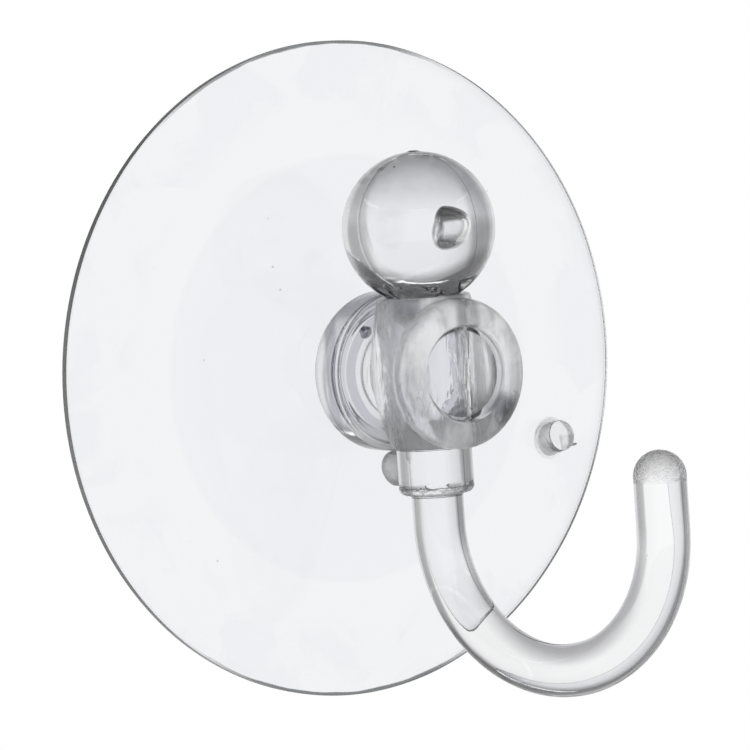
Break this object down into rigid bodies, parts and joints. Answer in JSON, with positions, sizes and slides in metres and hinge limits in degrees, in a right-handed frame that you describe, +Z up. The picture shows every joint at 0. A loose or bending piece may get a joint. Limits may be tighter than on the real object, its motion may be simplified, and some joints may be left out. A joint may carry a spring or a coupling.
{
  "type": "suction cup hook",
  "caption": "Clear suction cup with a ball-topped round rod hook that swivels in its head, for hanging light things on glass or smooth tiles.",
  "frame": {"origin": "centre of the cup on the plane of the pane that it sits on", "axes": "+Y into the pane, -Y out of it along the cup's axis, +Z up along the hook's column, +X to the right seen from in front"},
  "size_m": [0.085, 0.058, 0.085],
  "materials": {
    "clear_soft_plastic": "clear soft plastic, glossy disc, satin head",
    "clear_hard_plastic": "clear hard plastic, polished"
  },
  "bodies": {
    "cup": {"suction_cup": "clear_soft_plastic"},
    "swivel_hook": {"hook": "clear_hard_plastic"}
  },
  "joints": [
    {"name": "hook_swivel", "type": "hinge", "parent": "cup", "child": "swivel_hook", "pos_m": [0, -0.0193, 0], "axis": [0, 0, 1], "range_deg": [-118, 92]}
  ]
}
